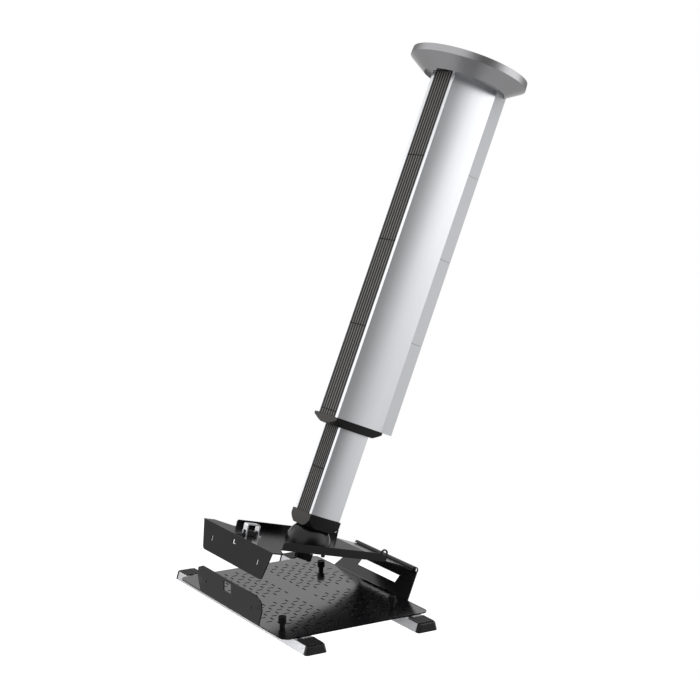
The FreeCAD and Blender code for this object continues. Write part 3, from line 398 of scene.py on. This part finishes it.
finished("clamp_bolt", zinc)
finished("clamp_washer", zinc, edge=0.0002)
finished("clamp_nut", moulding, edge=0.0005)
finished("ball_liner", acetal, edge=0.0002)


# The ball is a hollow glossy half dome screwed to the bracket's floor from
# below. One longer screw beside the nut can lock its angle.

def gloss_black():
    material, place = new_finish("gloss black moulding")
    sink_marks = place.noise(60, 1.0)
    return close_finish(material, place, Base_Color=(0.004, 0.004, 0.005),
                        Roughness=sink_marks * 0.06 + 0.24, Specular_IOR_Level=0.35,
                        Normal=sink_marks.relief(0.00003))


gloss = gloss_black()
finished("ball_dome", gloss, edge=0.0004, smooth_below=40)
finished("dome_screws", oxide, edge=0.0002)
finished("dome_lock_screw", oxide, edge=0.0002)


# The upper bracket is one sheet of 2 mm steel, folded and painted gloss
# black: two upright bars, a slotted flange at one end, and at the other a
# slope that ends in the round edge which carries the tray.

def paint_surface(place, depth):
    """The sockets of gloss paint on sheet: fine orange peel over a slow ripple."""
    peel = place.noise(420, 2.0)
    ripple = place.noise(14, 1.0)
    return {"Roughness": ripple * 0.06 + 0.16, "Specular_IOR_Level": 0.28,
            "Normal": (peel * 0.6 + ripple * 0.4).relief(depth)}


def bracket_paint():
    material, place = new_finish("gloss black paint")
    return close_finish(material, place, Base_Color=(0.005, 0.005, 0.006),
                        **paint_surface(place, depth=0.00002))


finished("upper_bracket", bracket_paint(), edge=0.0004, rounds=3, fold=0.0018)


# The latch is a bright plated strap riveted to the bracket's floor. A bolt
# with a grooved finger pad slides under it, through the flange's hole.

def plated():
    material, place = new_finish("bright plating")
    haze = place.noise(90)
    return close_finish(material, place, Base_Color=(0.80, 0.81, 0.83), Metallic=1.0,
                        Roughness=haze * 0.1 + 0.3)


finished("latch_housing", plated())
finished("latch_slider", oxide)


# The tray is one sheet of 1.6 mm steel, punched in a basket pattern, folded,
# and rolled at one edge into a hook round the bracket's round edge. The paint
# is glossiest on the upper face, and the punched walls are painted black all
# over, as painted shade inside the slots. Tee nuts under the tray sit in the
# rails and take the thumb screws.

tray_coat = 0.00017
coat_end_x = 0.145


def tray_paint():
    """The paint differs with the depth below the plate's upper face."""
    material, place = new_finish("gloss black paint on the tray")
    plate_normal = (-0.36325, 0.0, 0.93169)
    bare_upper_face = -0.85943
    over_the_plate = (-0.0004, -0.0002)
    below_upper_edge = (0.0001, 0.0002)
    past_lower_edge = (0.0017, 0.0018)
    depth = bare_upper_face + tray_coat - place.along(plate_normal)
    in_sheet = depth.above(*below_upper_edge)
    on_top = depth.above(*over_the_plate) * (1.0 - in_sheet)
    # The punched walls are black all over, with no reflection: painted shade inside the slots.
    painted_slot_shade = in_sheet * (1.0 - depth.above(*past_lower_edge))
    return close_finish(material, place, Metallic=painted_slot_shade,
                        Base_Color=painted_slot_shade.between((0.005, 0.005, 0.006), (0.002, 0.002, 0.002)),
                        Coat_Weight=on_top, Coat_Roughness=0.14,
                        **paint_surface(place, depth=0.00001))


finished("perforated_tray", tray_paint(), edge=0, rounds=3, fold=0.0015,
         coat=tray_coat, coat_end_x=coat_end_x)
finished("tee_nuts", zinc, edge=0.0002)


# Two rails of pale anodised aluminium carry the projector. Each end is closed
# by a black moulding with a chamfer and a pad cut into small squares.

def pale_aluminium():
    material, place = new_finish("pale anodised aluminium")
    die_lines = place.noise((1300, 3, 1300), 2.0)
    return close_finish(material, place, Metallic=0.7,
                        Base_Color=die_lines.between((0.64, 0.65, 0.67), (0.72, 0.72, 0.74)),
                        Roughness=die_lines * 0.1 + 0.3, Normal=die_lines.relief(0.000004))


pale = pale_aluminium()
for side in ("left", "right"):
    finished("rail_" + side, pale, edge=0.0004)
    finished("rail_caps_" + side, gloss, edge=0.0006, rounds=3)


# Four knurled thumb screws clamp the tray to the rails through the tee nuts.

for number in range(1, 5):
    finished("thumb_screw_%d" % number, moulding, smooth_below=40)


# The stage: a white floor well below the mount, soft lamps, and the white
# studio wall beyond it. The side that the camera stands on is darker, and
# polished faces show both.

def studio_floor():
    material, place = new_finish("studio floor")
    far = place.with_vector("LENGTH", output="Value").above(3.0, 7.0)
    glow = place.ray("Is Camera Ray") * (0.45 + far * 0.25)
    white = place.node("ShaderNodeEmission", {}, {"Color": (1, 1, 1, 1), "Strength": glow})
    matt = place.node("ShaderNodeBsdfDiffuse", {}, {"Color": (0.6, 0.6, 0.6, 1)})
    place.node("ShaderNodeAddShader", {}, {0: white, 1: matt}).shown_by("ShaderNodeOutputMaterial")
    return material


floor_z = -2.3
floor_half_width = 14.0
floor_shape = bmesh.new()
bmesh.ops.create_grid(floor_shape, x_segments=1, y_segments=1, size=floor_half_width,
                      matrix=Matrix.Translation((0, 0, floor_z)))
floor_mesh = bpy.data.meshes.new("floor")
floor_shape.to_mesh(floor_mesh)
floor_shape.free()
floor_mesh.materials.append(studio_floor())
floor = bpy.data.objects.new("floor", floor_mesh)
bpy.context.scene.collection.objects.link(floor)

world = bpy.data.worlds.new("studio")
bpy.context.scene.world = world
world.use_nodes = True
world.node_tree.nodes.clear()
sky = Signal(world.node_tree, None)
direction = sky.node("ShaderNodeTexCoord", {}, {}, "Generated")
to_camera_side = (-0.17, -0.985, 0.0)
away_from_camera = (0.56, 0.83, 0.0)
all_round = 0.8
dark_side = direction.along(to_camera_side).above(0.68, 0.94)
height = direction.axes()[2]
wall = (1.0 - dark_side * 0.95) * (0.8 + height.above(-0.1, 0.2) * 0.3)
haze = height.above(0.05, 0.25) * direction.along(away_from_camera).above(0.2, 0.8)
in_reflection = wall * (1.0 - haze * (0.8 - height.above(0.3, 0.5) * 0.4))
seen = sky.ray("Is Camera Ray") + sky.ray("Is Transmission Ray")
mirrored = sky.ray("Is Glossy Ray") * (in_reflection - all_round)
strength = all_round + seen * 0.2 + mirrored
glow = sky.node("ShaderNodeBackground", {}, {"Color": (1, 1, 1, 1), "Strength": strength})
glow.shown_by("ShaderNodeOutputWorld")


def soft_lamp(name, place, aim, width, watts):
    lamp = bpy.data.lights.new(name, "AREA")
    lamp.shape = "SQUARE"
    lamp.size = width
    lamp.energy = watts
    holder = bpy.data.objects.new(name, lamp)
    aimed = (Vector(place) - Vector(aim)).to_track_quat("Z", "Y").to_matrix().to_4x4()
    holder.matrix_world = Matrix.Translation(place) @ aimed
    bpy.context.scene.collection.objects.link(holder)


column_middle = (0, 0, -0.6)
ball_centre = (0, 0, -0.83)
soft_lamp("window", (2.2, -1.6, 1.1), column_middle, width=2.4, watts=12)
soft_lamp("overhead", (-0.4, 0.3, 2.4), column_middle, width=2.4, watts=30)
soft_lamp("back light", (-1.6, 2.4, -0.4), column_middle, width=1.6, watts=6)
soft_lamp("left sparkle", (-1.5, 1.18, -1.5), ball_centre, width=0.4, watts=3)

# The camera stands below the column's middle and is rolled, so that the column
# leans to the right as it does in the photograph.

camera_place = (-1.48606, -2.16717, -0.61273)
right = Vector((0.780619, -0.534804, 0.323447))
down = Vector((0.289977, -0.148535, -0.945437))
ahead = Vector((0.553667, 0.831818, 0.039132))
lens = bpy.data.cameras.new("camera")
lens.lens = 82.29
lens.sensor_width = 36.0
lens.clip_start = 0.05
lens.clip_end = 60.0
camera = bpy.data.objects.new("camera", lens)
turned = Matrix((right, -down, -ahead)).transposed().to_4x4()
camera.matrix_world = Matrix.Translation(camera_place) @ turned
bpy.context.scene.collection.objects.link(camera)
bpy.context.scene.camera = camera
bpy.context.scene.view_settings.view_transform = "Standard"
